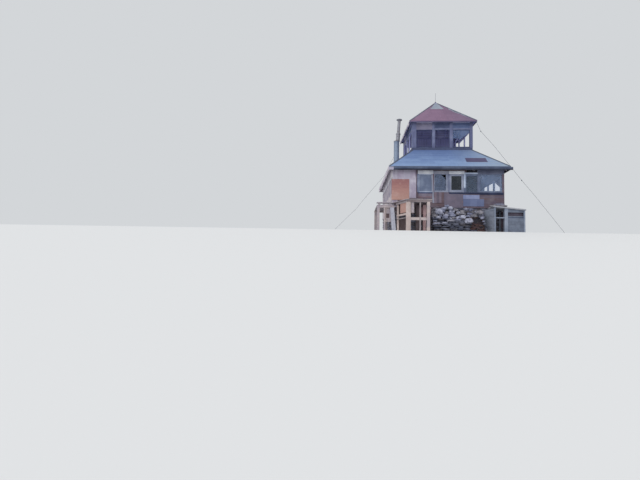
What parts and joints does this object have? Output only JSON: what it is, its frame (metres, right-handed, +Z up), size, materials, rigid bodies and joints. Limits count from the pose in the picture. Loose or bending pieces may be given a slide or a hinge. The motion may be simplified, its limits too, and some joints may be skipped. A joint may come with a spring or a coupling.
{
  "type": "fire lookout tower",
  "caption": "Weathered fire lookout: a square timber cabin on dry stone, hipped metal roof, and an open-windowed cupola with a pyramid roof above it.",
  "frame": {"origin": "centre of the overall outline at ground level", "axes": "+Z up, the front with the landing and the boarded doorway faces -Y, +X to the right seen from the front"},
  "size_m": [16.72, 9.114, 11.3211],
  "materials": {
    "foundation_stone": "rough, dry",
    "rubble_stone": "rough, dry",
    "floor_wood": "worn, matt",
    "wall_boards": "weathered paint",
    "side_boards": "weathered, matt",
    "frame_wood": "weathered paint",
    "old_glass": "dusty",
    "plywood": "weathered",
    "pale_panel": "faded paint",
    "sheet_metal": "faded, satin",
    "lower_roof_metal": "galvanised, dull",
    "upper_roof_metal": "faded paint",
    "bare_metal": "dull galvanised",
    "patch_metal": "faded paint",
    "rafter_wood": "weathered, dark",
    "cupola_boards": "weathered paint",
    "pipe_metal": "dull, stained",
    "deck_wood": "silvered, rough",
    "bin_wood": "silvered, rough",
    "cable_steel": "dull",
    "anchor_concrete": "rough"
  },
  "bodies": {
    "root": {"stone_foundation": "foundation_stone", "front_rubble": "rubble_stone", "cabin_floor": "floor_wood", "floor_joists": "floor_wood", "front_wall": "wall_boards", "right_wall": "wall_boards", "back_wall": "wall_boards", "left_wall": "side_boards", "cabin_window_frames": "frame_wood", "front_glass": "old_glass", "back_glass": "old_glass", "window_boards": "side_boards", "doorway_panel": "pale_panel", "plywood_sheets": "plywood", "window_trim": "frame_wood", "sill_boards": "wall_boards", "metal_sheets": "sheet_metal", "ceiling_joists": "rafter_wood", "lower_rafters": "rafter_wood", "lower_roof_front": "lower_roof_metal", "lower_roof_right": "lower_roof_metal", "lower_roof_back": "lower_roof_metal", "lower_roof_left": "lower_roof_metal", "fascia_boards": "rafter_wood", "cupola_floor": "floor_wood", "cupola_front_wall": "cupola_boards", "cupola_right_wall": "cupola_boards", "cupola_back_wall": "cupola_boards", "cupola_left_wall": "cupola_boards", "cupola_window_frames": "frame_wood", "cupola_flashing": "bare_metal", "upper_rafters": "rafter_wood", "upper_roof_front": "upper_roof_metal", "upper_roof_right": "upper_roof_metal", "upper_roof_back": "upper_roof_metal", "upper_roof_left": "upper_roof_metal", "hip_caps": "bare_metal", "roof_patch": "patch_metal", "apex_patch": "bare_metal", "lightning_rod": "cable_steel", "chimney_lower_pipe": "pipe_metal", "chimney_upper_pipe": "pipe_metal", "chimney_cap": "pipe_metal", "landing_boards": "deck_wood", "landing_frame": "deck_wood", "platform_boards": "deck_wood", "platform_frame": "deck_wood", "bin_frame": "bin_wood", "bin_panels": "bin_wood", "bin_lid": "bin_wood", "guy_cables": "cable_steel", "guy_anchors": "anchor_concrete"}
  },
  "joints": []
}
